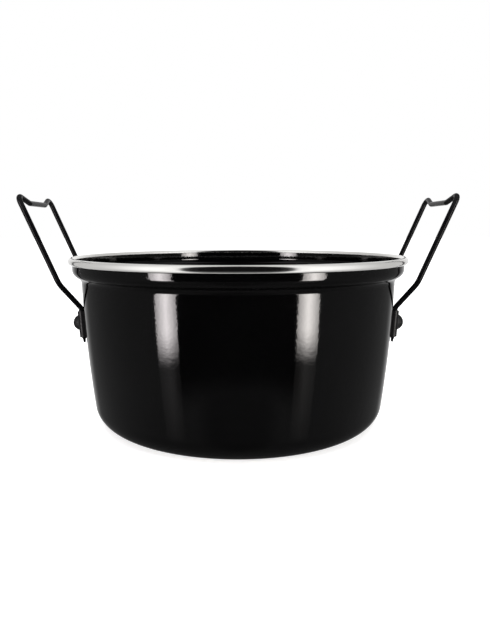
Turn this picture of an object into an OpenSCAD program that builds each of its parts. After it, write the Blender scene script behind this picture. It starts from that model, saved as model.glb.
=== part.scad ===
// Chip pan: a deep-drawn, enamelled steel pot with a stepped collar and a steel
// band rolled over its lip, and two bent wire handles clamped to the wall.
// Origin: centre of the base, on the surface it stands on. +Z is up, and the
// handles stand at -X and +X. All lengths are in millimetres.

/* [Pot] */
// Inner diameter of the wall just under the step
mouth_d = 239; // [200:1:300]
// Height from the table to the start of the step
wall_h = 110; // [96:1:150]
// Thickness of the steel sheet with its enamel
sheet_t = 1.2; // [0.9:0.1:1.8]
// Outer radius of the rounded corner between wall and base
base_corner_r = 17.6; // [10:0.2:26]
// Radius of the slight outward bow of the wall
wall_bow_r = 980; // [700:10:1600]
// Outward lean of the wall at its top, from the vertical
wall_top_lean = 1.7; // [0:0.1:4]
// Width of the flat ring that the pot stands on
foot_ring_w = 11; // [6:1:20]
// Height by which the middle of the base is pressed up
base_recess = 0.8; // [0.4:0.1:1.6]

/* [Step and collar] */
// How far the collar stands out from the wall
step_out = 6.5; // [6.3:0.1:10]
// Slope of the step, from the vertical
step_slope = 58; // [45:1:65]
// Outer radius of the hollow where the wall turns out into the step
step_hollow_r = 5; // [3:0.2:6]
// Outer radius of the round where the step turns up into the collar
step_round_r = 6.5; // [3:0.5:7]
// Straight height of the collar, from the step to the curl of the lip
collar_h = 6.3; // [5:0.1:20]

/* [Lip and band] */
// Inner radius of the curl at the lip
curl_hole_r = 0.5; // [0.4:0.1:1]
// Straight drop in the outer side of the curl
curl_drop = 0.6; // [0.2:0.1:2]
// Thickness of the steel band
band_t = 0.5; // [0.4:0.1:0.8]
// Length of the band's hem down the inside of the collar
band_hem = 0.4; // [0.2:0.1:2]

/* [Wire handles] */
// Diameter of the handle wire
wire_d = 4; // [3:0.2:5]
// Distance between the two upper legs of a handle
handle_w = 73.2; // [60:0.2:90]
// Distance between the wire's two ends in the clamp plate
clamp_w = 40; // [32:1:56]
// Lean of the upper legs, from the vertical
leg_lean = 23.1; // [10:0.1:35]
// Clearance outside the band of the kink between lower and upper leg
kink_out = 7; // [4:0.5:14]
// Height of the kink above the clamp plate
kink_rise = 20; // [15:0.5:26]
// Height of the handle's corners above the band
handle_rise = 46.2; // [25:0.2:80]
// Depth of the dip in the grip
dip_depth = 6.5; // [3:0.1:10]
// Length of the straight bottom of the dip
dip_w = 34.8; // [20:0.2:40]
// Bend radius of the wire at the kink
kink_bend_r = 12; // [8:1:16]
// Bend radius of the wire at the corners and round the dip
grip_bend_r = 5; // [4:0.5:6]
// Length of the flattened wire end below the clamp plate
tail_h = 4.2; // [3:0.1:6]
// Thickness of the flattened wire end
tail_t = 1.5; // [1.2:0.1:2.6]

/* [Clamp plates] */
// Thickness of the clamp plate
plate_t = 1; // [0.8:0.1:1.6]
// Height of the clamp plate
plate_h = 20; // [16:1:28]
// Distance from the step down to the middle of the clamp plate
plate_drop = 32.5; // [28:0.5:42]
// How far the middle of the plate stands off the wall
panel_rise = 4.4; // [3.8:0.1:4.8]
// Radius of the hollow where the plate turns up over the wire
press_r = 1.5; // [1:0.1:2]

/* [Rivets] */
// How far the rivet sits below the middle of the clamp plate
rivet_drop = 1.5; // [0:0.1:3]
// Diameter of the rivet's domed head
head_d = 13; // [11:0.5:16]
// Height of the rivet's domed head
head_h = 8.8; // [7:0.1:11]
// Diameter of the rivet's shank
shank_d = 5; // [4:0.5:6]
// Depth of the rivet's shank in the boss
shank_grip = 2.6; // [1.6:0.2:2.8]
// Diameter of the boss welded to the wall
boss_d = 12; // [10:0.5:16]

/* [Fits] */
// Gap between pieces that lie on each other
seat_gap = 0.1; // [0.05:0.05:0.2]
// Gap round the wire in its channel
wire_gap = 0.15; // [0.1:0.05:0.3]

/* [Hidden] */
$fn = 96;

enamel_black = [0.05, 0.05, 0.055];
coated_black = [0.12, 0.12, 0.12];
steel = [0.78, 0.79, 0.8];

// Degrees turned by one straight stretch of a sampled arc.
arc_step = 6;
// Stretches in the long, nearly straight bow of the wall.
bow_steps = 12;

// An arc is [centre, radius, first angle, last angle, side, stretches]. Its
// radius is that of the sheet's outer face. side is 1 where the centre lies
// behind the sheet and -1 where it lies in front.
function arc(centre, radius, first, last, side = 1, stretches = 0) =
    [centre, radius, first, last, side,
     stretches > 0 ? stretches : max(2, ceil(abs(last - first) / arc_step))];

// Points of an arc at a depth below the sheet's outer face.
function arc_points(a, depth) =
    let (r = a[1] - a[4] * depth)
    [for (i = [0:a[5]])
        let (angle = a[2] + (a[3] - a[2]) * i / a[5])
        a[0] + r * [cos(angle), sin(angle)]];

// Points of a run of arcs, joined by their common tangents.
function run_points(arcs, depth) = [for (a = arcs) each arc_points(a, depth)];

// Closed outline of a sheet of thickness t whose outer face follows the arcs.
function reversed(points) = [for (i = [len(points) - 1:-1:0]) points[i]];
function sheet_outline(arcs, t) =
    concat(run_points(arcs, 0), reversed(run_points(arcs, t)));

function unit(angle) = [cos(angle), sin(angle)];

// Wall: one shallow arc from the corner of the base up to the step.
wall_r = mouth_d / 2 + sheet_t;
wall_top = [wall_r, wall_h];
bow_centre = wall_top - wall_bow_r * unit(-wall_top_lean);
corner_rise = base_corner_r - bow_centre[1];
corner_centre = [
    bow_centre[0] + sqrt(pow(wall_bow_r - base_corner_r, 2) - pow(corner_rise, 2)),
    base_corner_r
];
wall_foot_angle = atan2(corner_rise, corner_centre[0] - bow_centre[0]);

// Radius and lean of the wall's outer face at a height.
function wall_angle(z) = asin((z - bow_centre[1]) / wall_bow_r);
function wall_r_at(z) = bow_centre[0] + wall_bow_r * cos(wall_angle(z));

// Base: the middle is pressed up in a soft S between two equal arcs.
recess_bend_r = 6;
recess_turn = acos(1 - base_recess / (2 * recess_bend_r));
recess_run = recess_bend_r * sin(recess_turn);
ring_inner_r = corner_centre[0] - foot_ring_w;

// Step: hollow arc, straight shelf, round arc.
hollow_centre = wall_top + step_hollow_r * unit(-wall_top_lean);
shelf_foot = hollow_centre - step_hollow_r * unit(-step_slope);
collar_r = wall_r + step_out;
shelf_reach = collar_r - step_round_r * (1 - cos(step_slope)) - shelf_foot[0];
shelf_top = shelf_foot + shelf_reach / sin(step_slope) * [sin(step_slope), cos(step_slope)];
round_centre = shelf_top - step_round_r * unit(-step_slope);

// Lip: the sheet curls outwards over the collar, and the band wraps the curl.
curl_r = curl_hole_r + sheet_t;
curl_top = [collar_r + curl_hole_r, round_centre[1] + collar_h];
curl_foot = curl_top - [0, curl_drop];
curl_end_angle = -70;
band_r = curl_r + seat_gap + band_t;
band_end_angle = -92;
rim_r = curl_top[0] + band_r;
rim_z = curl_top[1] + band_r;

pot_arcs = [
    arc([0, base_recess], 0, -90, -90, 1, 1),
    arc([ring_inner_r - 2 * recess_run, base_recess - recess_bend_r], recess_bend_r,
        90, 90 - recess_turn, -1),
    arc([ring_inner_r, recess_bend_r], recess_bend_r, -90 - recess_turn, -90),
    arc(corner_centre, base_corner_r, -90, wall_foot_angle),
    arc(bow_centre, wall_bow_r, wall_foot_angle, -wall_top_lean, 1, bow_steps),
    arc(hollow_centre, step_hollow_r, 180 - wall_top_lean, 180 - step_slope, -1),
    arc(round_centre, step_round_r, -step_slope, 0),
    arc(curl_top, curl_hole_r, 180, 0, -1, 12),
    arc(curl_foot, curl_hole_r, 0, curl_end_angle, -1, 8)
];

band_arcs = [
    arc(curl_top - [0, band_hem], band_r, 180, 180, 1, 1),
    arc(curl_top, band_r, 180, 0, 1, 20),
    arc(curl_foot, band_r, 0, band_end_angle, 1, 10)
];

module pot_shell() {
    color(enamel_black)
        rotate_extrude()
            polygon([for (p = sheet_outline(pot_arcs, sheet_t)) [max(0, p[0]), p[1]]]);
}

module rim_band() {
    color(steel)
        rotate_extrude()
            polygon(sheet_outline(band_arcs, band_t));
}

// Frame of a clamp: x outward from the wall's face, z up along its slope.
clamp_z = wall_h - plate_drop;
clamp_r = wall_r_at(clamp_z);
clamp_lean = -wall_angle(clamp_z);

module on_wall() {
    translate([clamp_r, 0, clamp_z])
        rotate([0, clamp_lean, 0])
            children();
}

// A point in the clamp's frame, in the pot's frame.
function from_wall(p) = [
    clamp_r + p[0] * cos(clamp_lean) + p[2] * sin(clamp_lean),
    p[1],
    clamp_z - p[0] * sin(clamp_lean) + p[2] * cos(clamp_lean)
];

// A point [along, off] of the plate laid flat, wrapped round the wall.
function wrapped(p) =
    let (turn = p[0] / clamp_r * 180 / PI)
    [(clamp_r + p[1]) * cos(turn) - clamp_r, (clamp_r + p[1]) * sin(turn)];

// Wire in its channel: centre line at wire_off from the wall's face.
wire_off = wire_d / 2 + wire_gap;
channel_r = wire_d / 2 + wire_gap + plate_t;
clamp_y = clamp_w / 2;
clamp_turn = asin(clamp_y / (clamp_r + wire_off));
clamp_along = clamp_turn * PI / 180 * clamp_r;
wire_x = (clamp_r + wire_off) * cos(clamp_turn) - clamp_r;

// Section of the clamp plate laid flat, from its middle to one end: a panel
// that lies on the boss, then a channel over the wire and down to the wall.
press_turn = acos((panel_rise + press_r - wire_off) / (channel_r + press_r));
press_along = clamp_along - (channel_r + press_r) * sin(press_turn);
plate_arcs = [
    arc([press_along, panel_rise + press_r], press_r, -90, press_turn - 90, -1),
    arc([clamp_along, wire_off], channel_r, 90 + press_turn, 0, 1, 18),
    arc([clamp_along, seat_gap], channel_r, 0, 0, 1, 1)
];

// A run of points and its mirror image, from one end of the plate to the other.
function both_sides(points) =
    concat([for (p = reversed(points)) [-p[0], p[1]]], points);

// Closed outline with more points on its long stretches, so that it can wrap.
wrap_step = 2.5;
function divided(points) = [
    for (i = [0:len(points) - 1])
        let (a = points[i], b = points[(i + 1) % len(points)],
             n = max(1, ceil(abs(b[0] - a[0]) / wrap_step)))
        for (k = [0:n - 1]) a + (b - a) * k / n
];

module plate_section() {
    flat = concat(
        both_sides(run_points(plate_arcs, 0)),
        reversed(both_sides(run_points(plate_arcs, plate_t)))
    );
    polygon([for (p = divided(flat)) wrapped(p)]);
}

// More than the plate's depth in x, for the cutting prisms.
plate_span = 4 * panel_rise + clamp_w / 4;

// Frame of the rivet, in the clamp's frame: z outward along its axis.
module on_rivet() {
    translate([0, 0, -rivet_drop])
        rotate([0, 90, 0])
            children();
}

module clamp_plate() {
    color(coated_black)
        on_wall()
            difference() {
                translate([0, 0, -plate_h / 2])
                    linear_extrude(plate_h)
                        plate_section();
                on_rivet()
                    cylinder(d = shank_d + 2 * seat_gap, h = plate_span);
            }
}

// Boss: stands on the wall and fills the space under the plate's panel. Both
// of its ends are rounded, to the wall and to the panel.
boss_top = panel_rise - plate_t - seat_gap;

// Cylinder about the pot's axis, in the clamp's frame.
module about_pot(off) {
    translate([-clamp_r, 0, -boss_d])
        cylinder(r = clamp_r + off, h = 2 * boss_d, $fn = 240);
}

module weld_boss() {
    color(enamel_black)
        on_wall()
            difference() {
                intersection() {
                    on_rivet()
                        translate([0, 0, -boss_d / 2])
                            cylinder(d = boss_d, h = boss_d);
                    about_pot(boss_top);
                }
                about_pot(seat_gap);
                on_rivet()
                    translate([0, 0, boss_top - shank_grip - seat_gap])
                        cylinder(d = shank_d + 2 * seat_gap, h = boss_top);
            }
}

// Rivet: a shank and a domed head, turned as one.
head_round_r = head_d / 2;
head_land = head_h - head_round_r;

module dome_rivet() {
    color(coated_black)
        on_wall()
            on_rivet()
                translate([0, 0, panel_rise + seat_gap])
                    union() {
                        translate([0, 0, -plate_t - shank_grip])
                            cylinder(d = shank_d, h = plate_t + shank_grip);
                        cylinder(d = head_d, h = head_land);
                        translate([0, 0, head_land])
                            intersection() {
                                sphere(head_round_r);
                                cylinder(r = head_d, h = head_d);
                            }
                    }
}

// Corners of a handle's front half, from the wire's end to the dip.
leg_y = handle_w / 2;
foot_bend_r = 4.5;
foot_rise = foot_bend_r / 2;
leg_foot = from_wall([wire_x, -clamp_y, -plate_h / 2]);
leg_bend = from_wall([wire_x, -clamp_y, plate_h / 2 + foot_rise]);
kink = [sqrt(rim_r * rim_r - leg_y * leg_y) + kink_out, -leg_y, leg_bend[2] + kink_rise];
corner_z = rim_z + handle_rise;
corner = [kink[0] + (corner_z - kink[2]) * tan(leg_lean), -leg_y, corner_z];
dip = corner - [dip_depth * sin(leg_lean), dip_w / 2 - leg_y, dip_depth * cos(leg_lean)];
dip_end = [dip[0], -dip[1], dip[2]];
half_line = [leg_foot, leg_bend, kink, corner, dip, dip_end];
half_bends = [0, foot_bend_r, kink_bend_r, grip_bend_r, grip_bend_r];

// The wire is swept through rings of [centre, direction, depth, width].
wire_sides = 24;
bend_step = 10;

function direction(a, b) = (b - a) / norm(b - a);

// Rings round the bend at corner i of a line.
function bend_rings(line, bends, i) =
    let (u = direction(line[i - 1], line[i]), v = direction(line[i], line[i + 1]),
         turn = acos(u * v), steps = max(2, ceil(turn / bend_step)), r = bends[i],
         out = (u - v) / norm(u - v),
         centre = line[i] - out * r / cos(turn / 2),
         start = (line[i] - u * r * tan(turn / 2) - centre) / r)
    [for (k = [0:steps])
        let (phi = turn * k / steps)
        [centre + r * (start * cos(phi) + u * sin(phi)),
         u * cos(phi) - start * sin(phi), wire_d, wire_d]];

// The wire's end is hammered flat, wider than its channel.
tail_w = wire_d * 1.5;
leg_way = direction(leg_foot, leg_bend);
tail_rings = [
    for (row = [[-tail_h, tail_t * 0.8, tail_w * 0.6], [1 - tail_h, tail_t, tail_w * 0.95],
                [-tail_h * 0.4, tail_t * 1.2, tail_w], [-0.2, wire_d, wire_d]])
        [leg_foot + leg_way * row[0], leg_way, row[1], row[2]]
];

half_rings = concat(tail_rings,
    [for (i = [1:len(half_bends) - 1]) each bend_rings(half_line, half_bends, i)]);
function mirrored(ring) =
    [[ring[0][0], -ring[0][1], ring[0][2]], [-ring[1][0], ring[1][1], -ring[1][2]],
     ring[2], ring[3]];
handle_rings = concat(half_rings, [for (ring = reversed(half_rings)) mirrored(ring)]);

// Points of a ring: its depth lies outward from the pot, its width across.
function ring_points(ring) =
    let (t = ring[1], x = [1, 0, 0] - t[0] * t, a = x / norm(x), b = cross(t, a))
    [for (k = [0:wire_sides - 1])
        let (phi = 360 * k / wire_sides)
        ring[0] + a * ring[2] / 2 * cos(phi) + b * ring[3] / 2 * sin(phi)];

module swept(rings) {
    n = wire_sides;
    last = (len(rings) - 1) * n;
    polyhedron(
        points = [for (ring = rings) each ring_points(ring)],
        faces = concat(
            [[for (k = [0:n - 1]) k], [for (k = [n - 1:-1:0]) last + k]],
            [for (i = [0:n:last - n], k = [0:n - 1]) [i + k, i + n + k, i + (k + 1) % n]],
            [for (i = [0:n:last - n], k = [0:n - 1])
                [i + n + k, i + n + (k + 1) % n, i + (k + 1) % n]]
        )
    );
}

module handle() {
    color(coated_black)
        swept(handle_rings);
}

// The left side is the right side turned half round the pot.
module left() {
    rotate(180)
        children();
}

pot_shell();
rim_band();
left() handle();  // handle_left
handle();  // handle_right
left() clamp_plate();  // clamp_plate_left
clamp_plate();  // clamp_plate_right
left() weld_boss();  // weld_boss_left
weld_boss();  // weld_boss_right
left() dome_rivet();  // dome_rivet_left
dome_rivet();  // dome_rivet_right
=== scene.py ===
# %% [markdown]
# # A black enamelled chip pan with wire handles
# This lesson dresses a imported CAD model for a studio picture. The pot is one
# drawn steel shell under black glass enamel, with a bright steel band rolled
# over its lip, and two bent wires clamped to its sides. The CAD model is the
# frame: each piece below repeats its sizes and stands where it stands.

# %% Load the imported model
import math

import bmesh
import bpy
from mathutils import Matrix, Vector


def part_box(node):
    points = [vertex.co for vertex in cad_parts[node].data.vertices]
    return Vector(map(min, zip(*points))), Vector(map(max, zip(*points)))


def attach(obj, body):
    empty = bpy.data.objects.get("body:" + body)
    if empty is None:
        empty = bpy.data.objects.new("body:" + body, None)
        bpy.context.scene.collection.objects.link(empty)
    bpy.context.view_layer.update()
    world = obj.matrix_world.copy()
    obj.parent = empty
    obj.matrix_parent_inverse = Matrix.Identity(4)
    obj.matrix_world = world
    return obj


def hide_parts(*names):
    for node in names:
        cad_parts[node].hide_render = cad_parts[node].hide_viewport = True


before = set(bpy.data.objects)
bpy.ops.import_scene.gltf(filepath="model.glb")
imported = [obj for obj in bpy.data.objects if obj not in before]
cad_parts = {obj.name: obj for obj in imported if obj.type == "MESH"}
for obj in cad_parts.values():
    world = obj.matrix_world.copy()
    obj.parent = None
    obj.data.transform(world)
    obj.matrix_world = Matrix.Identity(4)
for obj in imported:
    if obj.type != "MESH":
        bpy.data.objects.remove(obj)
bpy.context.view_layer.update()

# %% [markdown]
# ## The camera
# The picture was taken from a little above the rim, close enough that the far
# side of the rim looks clearly smaller. We place the camera first, because
# everything after it is judged through it. The small sideways shift moves the
# pot off the middle of the frame without turning the camera.

# %% Camera
FRAME_H = 618
FOCAL_PX, SHIFT_PX = 587.8, 6.9
LOOK_DOWN, ROLL = 7.76, 0.12
CAMERA_AT = (0.0, -0.46736, 0.14975)

camera_data = bpy.data.cameras.new("camera")
camera_data.sensor_width = 36.0
camera_data.lens = FOCAL_PX / FRAME_H * camera_data.sensor_width
camera_data.shift_x = SHIFT_PX / FRAME_H
camera_data.clip_start = 0.01
camera = bpy.data.objects.new("camera", camera_data)
camera.location = CAMERA_AT
camera.rotation_euler = (math.radians(90 - LOOK_DOWN), math.radians(ROLL), 0.0)
bpy.context.collection.objects.link(camera)
bpy.context.scene.camera = camera
print("lens, mm:", round(camera_data.lens, 2))

# %% [markdown]
# ## Sums as plain expressions
# A node tree is hard to read when each sum is a box. This small pair of
# classes lets us write `rough + 0.1 * spots`: a `Wire` wraps one output of a
# node, and each operator on it adds the Math node that does the sum. Every
# other node comes from `Graph.add`, which sets the node's own settings first
# and then feeds its inputs. It serves materials, the world and Geometry Nodes.

# %% The node helper
class Graph:
    def __init__(self, tree):
        self.tree = tree
        tree.nodes.clear()

    def add(self, kind, settings=None, inputs=None, out=0):
        node = self.tree.nodes.new(kind)
        for name, value in (settings or {}).items():
            setattr(node, name, value)
        for key, value in (inputs or {}).items():
            if isinstance(value, Wire):
                self.tree.links.new(value.socket, node.inputs[key])
            else:
                node.inputs[key].default_value = value
        return Wire(self, node.outputs[out]) if len(node.outputs) else node


class Wire:
    def __init__(self, graph, socket):
        self.graph, self.socket = graph, socket

    def out(self, name):
        return Wire(self.graph, self.socket.node.outputs[name])

    def math(self, operation, *others, first=None):
        terms = [self, *others] if first is None else [first, self]
        return self.graph.add(
            "ShaderNodeMath", {"operation": operation}, dict(enumerate(terms)))

    def __add__(self, other):
        return self.math("ADD", other)

    def __mul__(self, other):
        return self.math("MULTIPLY", other)

    def __sub__(self, other):
        return self.math("SUBTRACT", other)

    def __truediv__(self, other):
        return self.math("DIVIDE", other)

    def __rsub__(self, other):
        return self.math("SUBTRACT", first=other)

    def __rtruediv__(self, other):
        return self.math("DIVIDE", first=other)

    def __pow__(self, other):
        return self.math("POWER", other)

    __radd__ = __add__
    __rmul__ = __mul__

    def most(self, other):
        return self.math("MAXIMUM", other)

    def ramp(self, low, high):
        """0 below low, 1 above high, and a smooth rise between them."""
        return self.graph.add(
            "ShaderNodeMapRange", {"interpolation_type": "SMOOTHSTEP"},
            {"Value": self, "From Min": low, "From Max": high})


# %% [markdown]
# ## Finishes
# `finish` makes a material with a Principled shader and hands back the graph,
# so that each real coating can add its own detail. Noise reads Object
# coordinates, which here are metres on the pot, so a scale of 200 means
# features of about 5 mm.

# %% Start a material
def finish(name, **plain):
    material = bpy.data.materials.new(name)
    material.use_nodes = True
    graph = Graph(material.node_tree)
    shader = material.node_tree.nodes.new("ShaderNodeBsdfPrincipled")
    for socket, value in plain.items():
        shader.inputs[socket.replace("_", " ")].default_value = value
    surface = Wire(graph, shader.outputs[0])
    graph.add("ShaderNodeOutputMaterial", None, {"Surface": surface})
    place = graph.add("ShaderNodeTexCoord", out="Object")
    return material, graph, shader, place


def noise(graph, place, scale, detail=2.0, rough=0.5):
    return graph.add(
        "ShaderNodeTexNoise", {"noise_dimensions": "3D"},
        {"Vector": place, "Scale": scale, "Detail": detail, "Roughness": rough})


def plug(graph, shader, socket, wire):
    graph.tree.links.new(wire.socket, shader.inputs[socket])


def bump(graph, height, distance):
    return graph.add(
        "ShaderNodeBump", None,
        {"Height": height, "Distance": distance, "Strength": 1.0})


def blend(graph, factor, first, second):
    return graph.add(
        "ShaderNodeMix", {"data_type": "RGBA"},
        {"Factor": factor, "A": (*first, 1.0), "B": (*second, 1.0)}, out=2)


# %% [markdown]
# ### Black enamel
# Vitreous enamel is glass melted on to steel: nearly black underneath, with a
# clear mirror on top. Two things keep it from looking like plastic. The glass
# flows before it sets, so the surface rolls very slightly over 4 to 8 mm, with
# a finer ripple of about 2 mm on it, and a straight reflection gets a soft
# wobble. Its gloss and its black also vary a little where the coat is thinner.
# All of this is too small to see except in a reflection.

# %% Enamel
DEEP_BLACK, THIN_BLACK = (0.0003, 0.0003, 0.0004), (0.0013, 0.0013, 0.0014)
ROLLS, RIPPLE, CLOUD = 150.0, 520.0, 28.0
WAVE_HEIGHT = 0.000036

enamel, g, shader, place = finish("enamel_black", Specular_IOR_Level=0.5, IOR=1.5)
rolls = noise(g, place, ROLLS, 1.0)
ripple = noise(g, place, RIPPLE, 2.0)
cloud = noise(g, place, CLOUD, 3.0)
plug(g, shader, "Base Color", blend(g, cloud, DEEP_BLACK, THIN_BLACK))
plug(g, shader, "Roughness", 0.035 + 0.03 * cloud)
plug(g, shader, "Normal", bump(g, rolls * 0.45 + ripple * 0.55, WAVE_HEIGHT))
print("enamel nodes:", len(g.tree.nodes))

# %% [markdown]
# ### Rolled steel band
# The band is polished stainless strip, turned on to the lip by a roller that
# runs round the pot. It is bright, but not a mirror: a reflection on it has a
# soft edge, so it is two to three times as rough as the enamel. The roller
# leaves very fine lines along the rim, which are noise squeezed in height and
# radius and constant round the pot.

# %% Steel
STEEL_DARK, STEEL_PALE = (0.70, 0.69, 0.67), (0.80, 0.79, 0.77)
LINES_A_METRE, LINE_DEPTH, SMUDGES = 3000.0, 0.0000015, 60.0

steel, g, shader, place = finish("steel_band", Metallic=1.0)
xyz = g.add("ShaderNodeSeparateXYZ", None, {"Vector": place})
x, y, z = xyz.out("X"), xyz.out("Y"), xyz.out("Z")
radius = (x * x + y * y) ** 0.5
rings = g.add("ShaderNodeCombineXYZ", None,
              {"X": radius * LINES_A_METRE, "Y": z * LINES_A_METRE})
lines = noise(g, rings, 1.0, 3.0, 0.6)
smudge = noise(g, place, SMUDGES, 3.0)
plug(g, shader, "Base Color", blend(g, smudge, STEEL_DARK, STEEL_PALE))
plug(g, shader, "Roughness", 0.09 + 0.04 * lines + 0.04 * smudge)
plug(g, shader, "Normal", bump(g, lines, LINE_DEPTH))
print("steel nodes:", len(g.tree.nodes))

# %% [markdown]
# ### Coated wire, plate and rivet
# The wire, the clamp plate and the rivet carry a baked black coating. It is
# less glossy than the enamel, with a fine grain and random paler patches. On
# top of the grip it is painted paler, as painted light from the lamp overhead.
# `shine` is how strongly the coating mirrors, `blur` how soft that mirror image
# is, and `grain` and `depth` are the fineness and the height of its grain.

# %% Coatings
GRIP_LOW, GRIP_TOP, PATCHES = 0.158, 0.171, 90.0


def coating(name, dark, pale, shine, blur, grain, depth):
    material, g, shader, place = finish(name, Specular_IOR_Level=shine)
    specks = noise(g, place, grain, 3.0, 0.6)
    patches = noise(g, place, PATCHES, 2.0)
    height = g.add("ShaderNodeSeparateXYZ", None, {"Vector": place}).out("Z")
    # Painted light: above the grip's lower edge the colour is painted paler, standing in for
    # the overhead lamp's light on the grip's top.
    painted_top_light = height.ramp(GRIP_LOW, GRIP_TOP) * (0.6 + 0.4 * patches)
    patches_and_painted_top_light = (0.5 * patches.ramp(0.35, 0.75)).most(painted_top_light)
    plug(g, shader, "Base Color", blend(g, patches_and_painted_top_light, dark, pale))
    plug(g, shader, "Roughness", blur + 0.10 * patches)
    plug(g, shader, "Normal", bump(g, specks, depth))
    return material


wire_black = coating(
    "wire_coating", dark=(0.002, 0.002, 0.0025), pale=(0.010, 0.010, 0.0105),
    shine=0.08, blur=0.15, grain=700.0, depth=0.000002)
plate_black = coating(
    "plate_coating", dark=(0.004, 0.004, 0.0045), pale=(0.007, 0.007, 0.0075),
    shine=0.30, blur=0.34, grain=800.0, depth=0.000006)
rivet_black = coating(
    "rivet_coating", dark=(0.010, 0.010, 0.011), pale=(0.016, 0.016, 0.017),
    shine=0.25, blur=0.48, grain=1500.0, depth=0.000012)
print("coatings:", [black.name for black in (wire_black, plate_black, rivet_black)])

# %% [markdown]
# ## Drawing a sheet from its outer face
# The pot and its band are sheet metal, so their sections are easiest to write
# as the run of bends that the sheet goes through. `bend` samples one arc of the
# sheet's outer face and keeps the outward direction at each point, with `side`
# -1 where that direction is towards the arc's centre. `sheet` then walks back
# along the inner face, one thickness away. Sizes here are in millimetres and
# angles in degrees, as on the drawing.

# %% Bends and sheets
DEGREES_A_STEP = 4


def unit(degrees):
    return Vector((math.cos(math.radians(degrees)), math.sin(math.radians(degrees))))


def bend(centre, radius, first, last, side=1, steps=0):
    steps = steps or max(2, math.ceil(abs(last - first) / DEGREES_A_STEP))
    run = []
    for i in range(steps + 1):
        way = unit(first + (last - first) * i / steps)
        run.append((Vector(centre) + radius * way, side * way))
    return run


def sheet(bends, thickness):
    run = [sample for each in bends for sample in each]
    outer = [point for point, _ in run]
    inner = [point - thickness * way for point, way in reversed(run)]
    return outer + inner


# %% [markdown]
# ## The sizes of the pot
# A section is drawn from the centres of its bends, and each centre follows from
# the one before. The wall bows outwards and leans, a generous corner joins it
# to the base, a hollow and a round make the step below the collar, and a tiny
# curl ends it. The base is pressed up a little, inside the ring it stands on.

# %% Sizes and centres
SHEET = 1.2
wall_top = Vector((120.7, 110.0))
bow_r, top_lean, corner_r = 980.0, 1.7, 17.6
press, press_r, ring_in = 0.8, 6.0, 11.0
hollow_r, round_r, slope, collar_out = 5.0, 6.5, 58.0, 6.5
curl_hole, curl_rise, curl_drop = 0.5, 6.3, 0.6

bow_centre = wall_top - bow_r * unit(-top_lean)
corner_lift = corner_r - bow_centre.y
corner_in = math.sqrt((bow_r - corner_r) ** 2 - corner_lift ** 2)
corner_centre = Vector((bow_centre.x + corner_in, corner_r))
foot_angle = math.degrees(math.atan2(corner_lift, corner_centre.x - bow_centre.x))
press_turn = math.degrees(math.acos(1 - press / (2 * press_r)))
press_run = press_r * math.sin(math.radians(press_turn))
ring_r = corner_centre.x - ring_in
collar_r = wall_top.x + collar_out
hollow_centre = wall_top + hollow_r * unit(-top_lean)
shelf_foot = hollow_centre - hollow_r * unit(-slope)
shelf_reach = collar_r - round_r * (1 - unit(slope).x) - shelf_foot.x
shelf_way = Vector((unit(slope).y, unit(slope).x))
shelf_top = shelf_foot + shelf_reach / unit(slope).y * shelf_way
round_centre = shelf_top - round_r * unit(-slope)
curl_top = Vector((collar_r + curl_hole, round_centre.y + curl_rise))
curl_foot = curl_top - Vector((0, curl_drop))
print("the pot stands on a ring of radius", round(ring_r, 2), "collar", round(collar_r, 2))

# %% [markdown]
# ## The sections of the pot and its band
# Now the bends follow one another from the middle of the base outwards. The
# band is a second sheet on the curl's own centres, one small gap further out.
# It starts just inside the lip and ends under the curl.

# %% Section of the shell and the band
BAND_T, BAND_GAP, INSIDE_LIP = 0.5, 0.1, 0.4
CURL_END, BAND_END = -70, -92
band_r = curl_hole + SHEET + BAND_GAP + BAND_T

shell_section = sheet([
    [(Vector((0, press)), Vector((0, -1)))],
    bend((ring_r - 2 * press_run, press - press_r), press_r, 90, 90 - press_turn,
         side=-1, steps=6),
    bend((ring_r, press_r), press_r, -90 - press_turn, -90, steps=6),
    bend(corner_centre, corner_r, -90, foot_angle),
    bend(bow_centre, bow_r, foot_angle, -top_lean, steps=40),
    bend(hollow_centre, hollow_r, 180 - top_lean, 180 - slope, side=-1),
    bend(round_centre, round_r, -slope, 0),
    bend(curl_top, curl_hole, 180, 0, side=-1, steps=12),
    bend(curl_foot, curl_hole, 0, CURL_END, side=-1, steps=6),
], SHEET)
band_section = sheet([
    [(curl_top + Vector((-band_r, -INSIDE_LIP)), Vector((-1, 0)))],
    bend(curl_top, band_r, 180, 0, steps=36),
    bend(curl_foot, band_r, 0, BAND_END, steps=20),
], BAND_T)
rim_r, rim_z = curl_top.x + band_r, curl_top.y + band_r
print("points in the shell's section:", len(shell_section))
print("rim: radius", round(rim_r, 2), "height", round(rim_z, 2))

# %% [markdown]
# ## Starting and ending a tree
# Every Geometry Nodes tree here takes an outline and a few named inputs, and
# ends the same way: instances are made real, because the export can't carry
# them, and the material is set. Two helpers do these ends.

# %% Tree helpers
def new_tree(name, inputs):
    tree = bpy.data.node_groups.new(name, "GeometryNodeTree")
    face = tree.interface
    face.new_socket("Geometry", in_out="INPUT", socket_type="NodeSocketGeometry")
    face.new_socket("Geometry", in_out="OUTPUT", socket_type="NodeSocketGeometry")
    for label, kind in inputs.items():
        face.new_socket(label, in_out="INPUT", socket_type="NodeSocket" + kind)
    graph = Graph(tree)
    given = graph.add("NodeGroupInput")
    return tree, graph, given


def finish_tree(graph, geometry, material):
    whole = graph.add("GeometryNodeRealizeInstances", None, {"Geometry": geometry})
    painted = graph.add(
        "GeometryNodeSetMaterial", None, {"Geometry": whole, "Material": material})
    graph.add("NodeGroupOutput", None, {"Geometry": painted})


# %% [markdown]
# ## A lathe in Geometry Nodes
# Turned and spun shapes follow one rule: carry a section round an axis. In
# Geometry Nodes that is Curve to Mesh, with a small circle as the path and the
# section as the profile, moved in by the circle's own radius so that the two
# cancel out. Named inputs hold the number of sides and the hub's radius.

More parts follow.
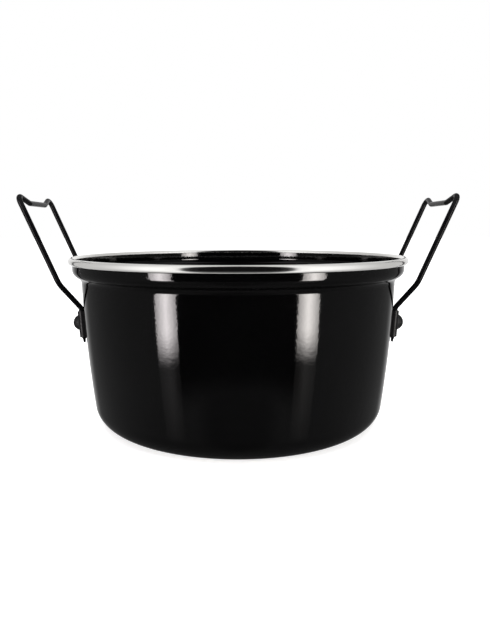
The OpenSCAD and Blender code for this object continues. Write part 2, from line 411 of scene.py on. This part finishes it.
# %% The lathe's tree
lathe, g, given = new_tree(
    "lathe", {"Sides": "Int", "Hub radius": "Float", "Material": "Material"})
hub = given.out("Hub radius")
path = g.add("GeometryNodeCurvePrimitiveCircle", {"mode": "RADIUS"},
             {"Resolution": given.out("Sides"), "Radius": hub})
profile = g.add("GeometryNodeMeshToCurve", None, {"Mesh": given})
inward = g.add("ShaderNodeCombineXYZ", None, {"X": 0 - hub})
profile = g.add("GeometryNodeTransform", None,
                {"Geometry": profile, "Translation": inward, "Scale": (1, -1, 1)})
turned = g.add("GeometryNodeCurveToMesh", None, {"Curve": path, "Profile Curve": profile})
joined = g.add("GeometryNodeMergeByDistance", None, {"Geometry": turned, "Distance": 1e-6})
smooth = g.add("GeometryNodeSetShadeSmooth", None, {"Geometry": joined})
finish_tree(g, smooth, given.out("Material"))
print("lathe nodes:", len(lathe.nodes))

# %% [markdown]
# ## From a tree to a plain piece
# The export wants plain meshes, so `made_by` lends a tree an outline, sets the
# modifier's inputs by their identifiers, and keeps only the mesh that comes
# out. `dressed` then turns faces outwards, marks real edges as sharp, hides the
# CAD node that the piece stands for, and prints how far the piece reaches
# beyond that node's box.

# %% Bake and dress a piece
TO_METRES = 0.001


def made_by(tree, name, points, closed, inputs):
    outline = bpy.data.meshes.new(name)
    count = len(points)
    edges = [(i, (i + 1) % count) for i in range(count if closed else count - 1)]
    outline.from_pydata([p.to_3d() * TO_METRES for p in points], edges, [])
    host = bpy.data.objects.new(name, outline)
    bpy.context.collection.objects.link(host)
    modifier = host.modifiers.new("make", "NODES")
    modifier.node_group = tree
    for item in tree.interface.items_tree:
        if item.in_out == "INPUT" and item.name in inputs:
            modifier[item.identifier] = inputs[item.name]
    bpy.context.view_layer.update()
    seen = host.evaluated_get(bpy.context.evaluated_depsgraph_get())
    mesh = bpy.data.meshes.new_from_object(seen)
    host.modifiers.clear()
    bpy.data.objects.remove(host)
    return mesh


def dressed(name, mesh, node, sharp=35):
    solid = bmesh.new()
    solid.from_mesh(mesh)
    bmesh.ops.remove_doubles(solid, verts=solid.verts, dist=1e-7)
    bmesh.ops.recalc_face_normals(solid, faces=solid.faces)
    solid.to_mesh(mesh)
    solid.free()
    for face in mesh.polygons:
        face.use_smooth = True
    mesh.set_sharp_from_angle(angle=math.radians(sharp))
    piece = bpy.data.objects.new(name, mesh)
    bpy.context.collection.objects.link(piece)
    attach(piece, "root")
    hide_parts(node)
    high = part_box(node)[1]
    corners = [v.co for v in mesh.vertices]
    reach = [round(max(c[i] for c in corners) - high[i], 5) for i in range(3)]
    print(name, "faces:", len(mesh.polygons), "beyond its CAD node by", reach)
    return piece


# %% [markdown]
# ## The shell and the band
# Both are turned on the same lathe, from their own sections. A real enamel
# shell is one piece from the middle of its base to the curl, so it stays one
# mesh, and the reflections run unbroken over the step. With 336 sides round,
# it stays under 200,000 triangles.

# %% Turn the shell and the band
POT_SIDES, POT_HUB = 336, 0.01


def turned_on_pot(name, section, material):
    return made_by(lathe, name, section, True,
                   {"Sides": POT_SIDES, "Hub radius": POT_HUB, "Material": material})


shell_mesh = turned_on_pot("shell", shell_section, enamel)
dressed("pot_shell_enamel", shell_mesh, "pot_shell")
band_mesh = turned_on_pot("band", band_section, steel)
band = dressed("rim_band_steel", band_mesh, "rim_band")

# %% [markdown]
# ## Where the clamps sit
# Each handle is held by a small pressed plate on the wall. It is easiest to
# think of the clamp standing on a flat wall, x outwards and z up, and to carry
# it to the pot afterwards: `on_wall` leans it to the wall's slope and moves it
# to the right height. The left side is the right side turned half round.

# %% The clamp's own frame
WIRE_D, WIRE_GAP, PLATE_T, PLATE_H = 4.0, 0.15, 1.0, 20.0
CLAMP_DROP, CLAMP_Y = 32.5, 20.0
clamp_z = wall_top.y - CLAMP_DROP
clamp_lean = -math.degrees(math.asin((clamp_z - bow_centre.y) / bow_r))
clamp_r = bow_centre.x + bow_r * unit(clamp_lean).x
on_wall = (Matrix.Translation((clamp_r, 0, clamp_z))
           @ Matrix.Rotation(math.radians(clamp_lean), 4, "Y"))
half_round = Matrix.Rotation(math.pi, 4, "Z")
wire_off = WIRE_D / 2 + WIRE_GAP
clamp_turn = math.asin(CLAMP_Y / (clamp_r + wire_off))
wire_x = (clamp_r + wire_off) * math.cos(clamp_turn) - clamp_r
print("clamp at radius", round(clamp_r, 2), "height", clamp_z, "lean", round(clamp_lean, 2))

# %% [markdown]
# ## The wire's route
# A handle is one length of 4 mm wire. From its hammered end it runs up under
# the plate, out and apart to a kink that clears the rim, up the two legs, and
# over a grip with a shallow dip where a basket hangs to drain. We list the
# corners of one half of the route, each with its own bend radius.

# %% Corners and bends of the wire
LEG_Y, LEG_LEAN, DIP_HALF, DIP_DEPTH = 36.6, math.radians(23.1), 17.4, 6.5
ABOVE_PLATE, KINK_RISE, RIM_CLEAR, GRIP_RISE, TAIL_L = 2.25, 20.0, 7.0, 46.2, 4.2
half_bends = [0, 4.5, 12.0, 5.0, 5.0]

foot = on_wall @ Vector((wire_x, -CLAMP_Y, -PLATE_H / 2))
top = on_wall @ Vector((wire_x, -CLAMP_Y, PLATE_H / 2 + ABOVE_PLATE))
kink_x = math.sqrt(rim_r ** 2 - LEG_Y ** 2) + RIM_CLEAR
kink = Vector((kink_x, -LEG_Y, top.z + KINK_RISE))
corner_z = rim_z + GRIP_RISE
corner = Vector((kink.x + (corner_z - kink.z) * math.tan(LEG_LEAN), -LEG_Y, corner_z))
dip = corner + Vector((-DIP_DEPTH * math.sin(LEG_LEAN), LEG_Y - DIP_HALF,
                       -DIP_DEPTH * math.cos(LEG_LEAN)))
tip = foot - TAIL_L * (top - foot).normalized()
half_route = [tip, top, kink, corner, dip]
print("corners of half a handle:", len(half_route))

# %% [markdown]
# ## Rounding the route
# A wire bends round a pin, so each corner becomes an arc that touches both of
# its straight runs. The second half is the first, mirrored across the pot. The
# two ends get extra points, because the hammer needs them there.

# %% The whole route
TAIL_SHARE, TAIL_STEPS = 0.32, 14


def rounded(route, radii, step=5):
    points = [route[0]]
    for before, at, after, r in zip(route, route[1:], route[2:], radii[1:]):
        u, v = (at - before).normalized(), (after - at).normalized()
        turn = u.angle(v)
        centre = at - (u - v).normalized() * r / math.cos(turn / 2)
        start = (at - u * r * math.tan(turn / 2) - centre) / r
        steps = max(2, math.ceil(math.degrees(turn) / step))
        for k in range(steps + 1):
            so_far = turn * k / steps
            points.append(centre + r * (start * math.cos(so_far) + u * math.sin(so_far)))
    return points + [route[-1]]


def across(points):
    return [Vector((p.x, -p.y, p.z)) for p in reversed(points)]


route = rounded(half_route + across(half_route), half_bends + half_bends[::-1])
tail = [tip + (top - tip) * TAIL_SHARE * i / TAIL_STEPS for i in range(1, TAIL_STEPS + 1)]
route = route[:1] + tail + route[1:-1] + across(tail) + route[-1:]
print("points along the wire:", len(route))

# %% [markdown]
# ## Bending the wire in Geometry Nodes
# Curve to Mesh sweeps a circle along the route. The hammered ends are the same
# sweep, squashed: below the plate, every point moves towards the wire's middle
# line in depth and away from it in width, and the tip narrows again. That is
# one Set Position, with masks that grow from 0 at the plate's edge towards 1
# near the tip.

# %% The wire's tree
THINNER, WIDER, TAPER = 0.64, 0.48, 0.55
FLAT_FROM, FLAT_FULL, TAPER_FROM, TAPER_FULL = 0.05, 0.5, 0.62, 1.02

wire_tree, g, given = new_tree("bent_wire", {
    "Thickness": "Float", "Sides": "Int", "Foot height": "Float", "Foot depth": "Float",
    "Foot slope": "Float", "Foot spread": "Float", "Hammered": "Float",
    "Material": "Material"})
route_curve = g.add("GeometryNodeMeshToCurve", None, {"Mesh": given})
round_bar = g.add("GeometryNodeCurvePrimitiveCircle", {"mode": "RADIUS"},
                  {"Resolution": given.out("Sides"), "Radius": given.out("Thickness") * 0.5})
swept = g.add("GeometryNodeCurveToMesh", None,
              {"Curve": route_curve, "Profile Curve": round_bar, "Fill Caps": True})
spot = g.add("GeometryNodeInputPosition")
xyz = g.add("ShaderNodeSeparateXYZ", None, {"Vector": spot})
x, y, z = xyz.out("X"), xyz.out("Y"), xyz.out("Z")
below = given.out("Foot height") - z
down = below / given.out("Hammered")
flat = down.ramp(FLAT_FROM, FLAT_FULL)
narrow = down.ramp(TAPER_FROM, TAPER_FULL)
middle_x = given.out("Foot depth") - below * given.out("Foot slope")
middle_y = y.math("SIGN") * given.out("Foot spread")
new_x = middle_x + (x - middle_x) * (1 - flat * THINNER)
new_y = middle_y + (y - middle_y) * (1 + flat * WIDER - narrow * TAPER)
moved = g.add("ShaderNodeCombineXYZ", None, {"X": new_x, "Y": new_y, "Z": z})
at_foot = below.math("GREATER_THAN", 0.0)
hammered = g.add("GeometryNodeSetPosition", None,
                 {"Geometry": swept, "Selection": at_foot, "Position": moved})
smooth = g.add("GeometryNodeSetShadeSmooth", None, {"Geometry": hammered})
finish_tree(g, smooth, given.out("Material"))
print("bent wire nodes:", len(wire_tree.nodes))

# %% [markdown]
# ## Two handles from one tree
# The tree's inputs say where the plate's lower edge is, how far out and apart
# the wire's middle lines are there, how they slope, and how long the hammered
# part is. Both handles take the same values, and the left one is turned half
# round afterwards, in its mesh, so that its object stays at the origin.

# %% Bend both handles
WIRE_SIDES = 28
handle_sizes = {
    "Thickness": WIRE_D * TO_METRES, "Sides": WIRE_SIDES, "Hammered": TAIL_L * TO_METRES,
    "Foot height": foot.z * TO_METRES, "Foot depth": foot.x * TO_METRES,
    "Foot slope": math.tan(math.radians(clamp_lean)),
    "Foot spread": CLAMP_Y * TO_METRES, "Material": wire_black}
for node, turn in (("handle_right", Matrix()), ("handle_left", half_round)):
    mesh = made_by(wire_tree, node, route, False, handle_sizes)
    mesh.transform(turn)
    dressed(node + "_wire", mesh, node, sharp=50)

# %% [markdown]
# ## The clamp plate's section
# A clamp is one pressing: a panel that follows the wall, with a channel at each
# end that cups the wire. Its section, seen from above, is a run of bends again.
# We draw half of it along a flat wall and mirror that half.

# %% Section of a clamp plate
PANEL_OUT, FILLET_R, WALL_GAP, PANEL_STEPS = 4.4, 1.5, 0.1, 12
channel_r = WIRE_D / 2 + WIRE_GAP + PLATE_T
along = clamp_turn * clamp_r
fillet_off = PANEL_OUT + FILLET_R
fillet_turn = math.degrees(math.acos((fillet_off - wire_off) / (channel_r + FILLET_R)))
panel_end = along - (channel_r + FILLET_R) * math.sin(math.radians(fillet_turn))
half_panel = [(Vector((panel_end * i / PANEL_STEPS, PANEL_OUT)), Vector((0, 1)))
              for i in range(PANEL_STEPS + 1)]
half_plate = (half_panel
              + bend((panel_end, fillet_off), FILLET_R, -90, fillet_turn - 90, side=-1, steps=8)
              + bend((along, wire_off), channel_r, 90 + fillet_turn, 0, steps=24)
              + [(Vector((along + channel_r, WALL_GAP)), Vector((1, 0)))])
other_half = [(Vector((-p.x, p.y)), Vector((-n.x, n.y))) for p, n in reversed(half_plate[1:])]
flat_plate = sheet([other_half + half_plate], PLATE_T)
print("points in the plate's section:", len(flat_plate))

# %% [markdown]
# ## Pressing the clamp plates
# The section is wrapped round the wall and raised to the plate's height. A
# small bevel on the cut edges catches the light as a sheared and coated edge
# does.

# %% Press the clamp plates
CUT_EDGE = 0.22


def wrapped(p):
    turn = p.x / clamp_r
    return ((clamp_r + p.y) * math.cos(turn) - clamp_r, (clamp_r + p.y) * math.sin(turn))


def pressed_plate(name):
    shape = bmesh.new()
    ring = [shape.verts.new((*wrapped(p), -PLATE_H / 2)) for p in flat_plate]
    section = shape.faces.new(ring)
    raised = bmesh.ops.extrude_face_region(shape, geom=[section])
    upper = [v for v in raised["geom"] if isinstance(v, bmesh.types.BMVert)]
    bmesh.ops.translate(shape, vec=(0, 0, PLATE_H), verts=upper)
    bmesh.ops.recalc_face_normals(shape, faces=shape.faces)
    cut = [e for e in shape.edges if e.calc_face_angle(0) > math.radians(50)]
    bmesh.ops.bevel(shape, geom=cut, offset=CUT_EDGE, offset_type="OFFSET", segments=3,
                    profile=0.5, affect="EDGES", clamp_overlap=True)
    shape.transform(Matrix.Scale(TO_METRES, 4) @ on_wall)
    mesh = bpy.data.meshes.new(name)
    shape.to_mesh(mesh)
    shape.free()
    mesh.materials.append(plate_black)
    return mesh


for node, turn in (("clamp_plate_right", Matrix()), ("clamp_plate_left", half_round)):
    mesh = pressed_plate(node)
    mesh.transform(turn)
    dressed(node + "_pressed", mesh, node, sharp=40)

# %% [markdown]
# ## The rivets
# Each plate is held by one rivet with a domed head. It is a turned part, so it
# comes off the same lathe as the pot: we draw half its section, spin it, and
# lay its axis along the wall's outward direction.

# %% Turn the rivets
HEAD_R, HEAD_H, HEAD_EDGE, SEAT, RIVET_DROP = 6.5, 8.8, 0.35, 4.5, 1.5
RIVET_SIDES, RIVET_HUB = 72, 0.001
edge = bend((HEAD_R - HEAD_EDGE, HEAD_EDGE), HEAD_EDGE, -90, 0, steps=5)
dome = bend((0, HEAD_H - HEAD_R), HEAD_R, 0, 90, steps=26)
rivet_section = (
    [Vector((0, 0)), Vector((HEAD_R - HEAD_EDGE, 0))]
    + [p for p, _ in edge[1:]]
    + [p for p, _ in dome[:-1]]
    + [Vector((0, HEAD_H))])
to_clamp = (Matrix.Translation((SEAT, 0, -RIVET_DROP))
            @ Matrix.Rotation(math.radians(90), 4, "Y"))
scale_up, scale_down = Matrix.Scale(1000, 4), Matrix.Scale(TO_METRES, 4)
for node, turn in (("dome_rivet_right", Matrix()), ("dome_rivet_left", half_round)):
    mesh = made_by(lathe, node, rivet_section, True,
                   {"Sides": RIVET_SIDES, "Hub radius": RIVET_HUB, "Material": rivet_black})
    mesh.transform(turn @ scale_down @ on_wall @ to_clamp @ scale_up)
    dressed(node + "_head", mesh, node, sharp=50)

# %% [markdown]
# ## The welded bosses
# The bosses under the plates are simple, and the CAD shape is already right.
# They only take the enamel, which is fired on after they are welded.

# %% Enamel on the bosses
for node in ("weld_boss_left", "weld_boss_right"):
    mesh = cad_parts[node].data
    mesh.materials.clear()
    mesh.materials.append(enamel)
    print(node, "takes", mesh.materials[0].name)

# %% [markdown]
# ## The room
# A glossy black pot shows almost nothing of itself: what we see is the room in
# its surface. So the room is built for its reflections. The backdrop behind the
# pot is white and lights its edges, the ceiling is a dim grey, and the walls
# are dark and darkest towards the floor. A black cloth hangs by the camera, as
# photographers hang one, so that the front of the pot stays black. Below its
# hem a soft shade goes on. The camera itself sees only white.

# %% World
BACKDROP, CEILING, WALLS, LOWER_DIM = 0.87, 0.25, 0.13, 0.05
BACK_FROM, BACK_FULL = 0.70, 1.06
CLOTH_NARROW, CLOTH_HEM, CLOTH_BLACK, SHADE = 1.25, -0.50, 0.95, 0.5
SOFT_LIGHT = 0.45


def in_front(x, y, narrow):
    """Above 0 in a wedge round the camera, and growing towards its middle."""
    return 0.2 - y - narrow * x.math("ABSOLUTE")


def behind_cloth(x, y, z, narrow, hem):
    """1 where a black cloth hangs before the pot, by the camera, and 0 beside it."""
    return in_front(x, y, narrow).ramp(-0.06, 0.06) * z.ramp(hem, hem + 0.12)


world = bpy.data.worlds.new("room")
bpy.context.scene.world = world
world.use_nodes = True
g = Graph(world.node_tree)
ray = g.add("ShaderNodeLightPath")
toward = g.add("ShaderNodeTexCoord", out="Generated")
xyz = g.add("ShaderNodeSeparateXYZ", None, {"Vector": toward})
x, y, z = xyz.out("X"), xyz.out("Y"), xyz.out("Z")
backdrop = BACKDROP * y.ramp(BACK_FROM, BACK_FULL)
ceiling = CEILING * z.ramp(0.60, 0.95)
walls = WALLS - LOWER_DIM * (0 - z).ramp(0.35, 0.75)
shade = SHADE * in_front(x, y, CLOTH_NARROW).ramp(0.25, 0.70)
cloth = behind_cloth(x, y, z, CLOTH_NARROW, CLOTH_HEM).most(shade)
room = (walls + backdrop.most(ceiling)) * (1 - CLOTH_BLACK * cloth)
seen = ray.out("Is Camera Ray").most(ray.out("Is Transmission Ray"))
mirrored = ray.out("Is Glossy Ray") * room
glow = seen.most(mirrored).most(ray.out("Is Diffuse Ray") * SOFT_LIGHT)
sky = g.add("ShaderNodeBackground", None, {"Color": (1, 1, 1, 1), "Strength": glow})
g.add("ShaderNodeOutputWorld", None, {"Surface": sky})
print("world nodes:", len(g.tree.nodes))

# %% [markdown]
# ## The floor
# The floor is plain and pale. For the camera a little light of its own is
# added, more of it far from the pot, so that it runs into the white backdrop
# with no line, and the pot's soft shadow stays on it. Reflections look past it
# into the room.

# %% Floor
FLOOR_PAINT, FLOOR_GLOW, FAR_GLOW, FLOOR_HALF = 0.82, 0.68, 0.3, 9
NEAR_SQUARED, FAR_SQUARED = 0.06, 0.8

floor_paint, g, shader, place = finish("floor_paint", Roughness=0.9, Specular_IOR_Level=0.1)
shader.inputs["Base Color"].default_value = (FLOOR_PAINT, FLOOR_PAINT, FLOOR_PAINT, 1)
shader.inputs["Emission Strength"].default_value = 1.0
ray = g.add("ShaderNodeLightPath")
xyz = g.add("ShaderNodeSeparateXYZ", None, {"Vector": place})
x, y = xyz.out("X"), xyz.out("Y")
far = (x * x + y * y).ramp(NEAR_SQUARED, FAR_SQUARED)
own_light = ray.out("Is Camera Ray") * (FLOOR_GLOW + FAR_GLOW * far)
plug(g, shader, "Emission Color", own_light)


def flat_sheet(name, corners, material):
    mesh = bpy.data.meshes.new(name)
    mesh.from_pydata(corners, [], [(0, 1, 2, 3)])
    mesh.materials.append(material)
    card = bpy.data.objects.new(name, mesh)
    bpy.context.collection.objects.link(card)
    return card


floor_corners = [(FLOOR_HALF * a, FLOOR_HALF * b, 0)
                 for a, b in ((-1, -1), (1, -1), (1, 1), (-1, 1))]
floor = flat_sheet("floor", floor_corners, floor_paint)
floor.visible_glossy = False
print("floor nodes:", len(g.tree.nodes))

# %% [markdown]
# ## The softboxes
# Two tall softboxes stand left and right of the camera. On the curved wall each
# shows as one upright stripe, brightest along its middle. Its lower end fades
# out, as the diffuser of a real softbox does, and a faint tail goes on below.
# They are cards that glow, because a card can have its own fade, and their
# light is a touch warm. Rays pass through them to what lies behind, and light
# linking keeps them off the steel band, which has a card of its own below.

# %% Softboxes
STAND_OFF, TAIL, TAIL_GLOW, FADE, EDGE_DIM = 0.5, 0.27, 0.014, 0.09, 0.66
WALL_X, WALL_Y = 0.042, -0.112
no_steel = bpy.data.collections.new("no_steel")
no_steel.objects.link(band)
no_steel.collection_objects[0].light_linking.link_state = "EXCLUDE"


def glowing(graph, light):
    """Light of its own, added to whatever is behind it."""
    through = graph.add("ShaderNodeBsdfTransparent")
    both = graph.add("ShaderNodeAddShader", None, {0: light, 1: through})
    graph.add("ShaderNodeOutputMaterial", None, {"Surface": both})


def softbox(name, azimuth, half_width, hem, top, glow_at, tint):
    bottom = hem - TAIL
    out = Vector((math.sin(math.radians(azimuth)), -math.cos(math.radians(azimuth)), 0))
    sideways = Vector((-out.y, out.x, 0))
    base = Vector((math.copysign(WALL_X, azimuth), WALL_Y, 0)) + out * STAND_OFF
    reach = STAND_OFF * math.tan(math.radians(half_width))
    corners = [base + sideways * reach * a + Vector((0, 0, b))
               for a, b in ((-1, bottom), (1, bottom), (1, top), (-1, top))]
    material = bpy.data.materials.new(name)
    material.use_nodes = True
    g = Graph(material.node_tree)
    place = g.add("ShaderNodeTexCoord", out="Object")
    xyz = g.add("ShaderNodeSeparateXYZ", None, {"Vector": place})
    x, y, height = xyz.out("X"), xyz.out("Y"), xyz.out("Z")
    fade = height.ramp(hem, hem + FADE) + TAIL_GLOW * height.ramp(bottom, hem)
    off_centre = ((x - base.x) * sideways.x + (y - base.y) * sideways.y) / reach
    hot = 1 - EDGE_DIM * off_centre.math("ABSOLUTE")
    glowing(g, g.add("ShaderNodeEmission", None,
                     {"Color": (*tint, 1.0), "Strength": fade * hot * glow_at}))
    card = flat_sheet(name, corners, material)
    card.visible_camera = False
    card.light_linking.receiver_collection = no_steel
    print(name, "stands at", tuple(round(v, 3) for v in base))


softbox("softbox_left", azimuth=-51.0, half_width=8.85, hem=-0.132, top=0.30,
        glow_at=17.9, tint=(1.0, 0.945, 0.95))
softbox("softbox_right", azimuth=49.2, half_width=8.85, hem=-0.125, top=0.30,
        glow_at=18.9, tint=(1.0, 0.955, 0.92))

# %% [markdown]
# ## The lamp overhead
# A broad lamp overhead gives the plain light on the floor and in the pot. It
# shows in no reflection, because the room's ceiling does that.

# %% Lamp
lamp_data = bpy.data.lights.new("overhead", "AREA")
lamp_data.shape = "RECTANGLE"
lamp_data.size, lamp_data.size_y = 1.6, 1.2
lamp_data.energy = 24.0
lamp = bpy.data.objects.new("overhead", lamp_data)
lamp.location = (0.0, -0.1, 1.5)
lamp.visible_camera = lamp.visible_glossy = False
bpy.context.collection.objects.link(lamp)
print("lamp, W:", lamp_data.energy)

# %% [markdown]
# ### White card for the steel
# Polished steel takes all its brightness from what stands round it, so its
# photographer rings it with white card. The black enamel should not see that
# card, or it would turn grey. Light linking gives the card's light to the band
# alone, and the card's paint also lets every ray pass on to the room behind.
# It is brightest at both sides of the camera, and leaves a gap for the cloth.

# %% Card round the band
CARD_R, CARD_GLOW, FLARE_GLOW = 3.0, 0.55, 0.75
FLARE_X, FLARE_Y = 0.72, 0.69
GAP_NARROW, GAP_HEM = 1.78, -0.99

ball = bmesh.new()
bmesh.ops.create_icosphere(ball, subdivisions=4, radius=CARD_R)
card_mesh = bpy.data.meshes.new("white_card")
ball.to_mesh(card_mesh)
ball.free()
card_paint = bpy.data.materials.new("white_card")
card_paint.use_nodes = True
g = Graph(card_paint.node_tree)
place = g.add("ShaderNodeTexCoord", out="Object")
xyz = g.add("ShaderNodeSeparateXYZ", None, {"Vector": place})
x, y, z = (xyz.out(axis) / CARD_R for axis in "XYZ")
towards_flare = (FLARE_X * x.math("ABSOLUTE") - FLARE_Y * y).most(0.0)
flare = towards_flare ** 5 / (x * x + y * y) ** 2
gap = behind_cloth(x, y, z, GAP_NARROW, GAP_HEM)
lit = (CARD_GLOW + FLARE_GLOW * flare) * (1 - gap) * (1 - y.ramp(BACK_FROM, BACK_FULL))
glowing(g, g.add("ShaderNodeEmission", None, {"Strength": lit}))
card_mesh.materials.append(card_paint)
card = bpy.data.objects.new("white_card", card_mesh)
bpy.context.collection.objects.link(card)
card.visible_camera = card.visible_diffuse = card.visible_shadow = False
steel_only = bpy.data.collections.new("steel_only")
steel_only.objects.link(band)
card.light_linking.receiver_collection = steel_only

# %% [markdown]
# ## The view
# The picture is shown with the Standard view, so colours come out as written.

# %% View
bpy.context.scene.view_settings.view_transform = "Standard"
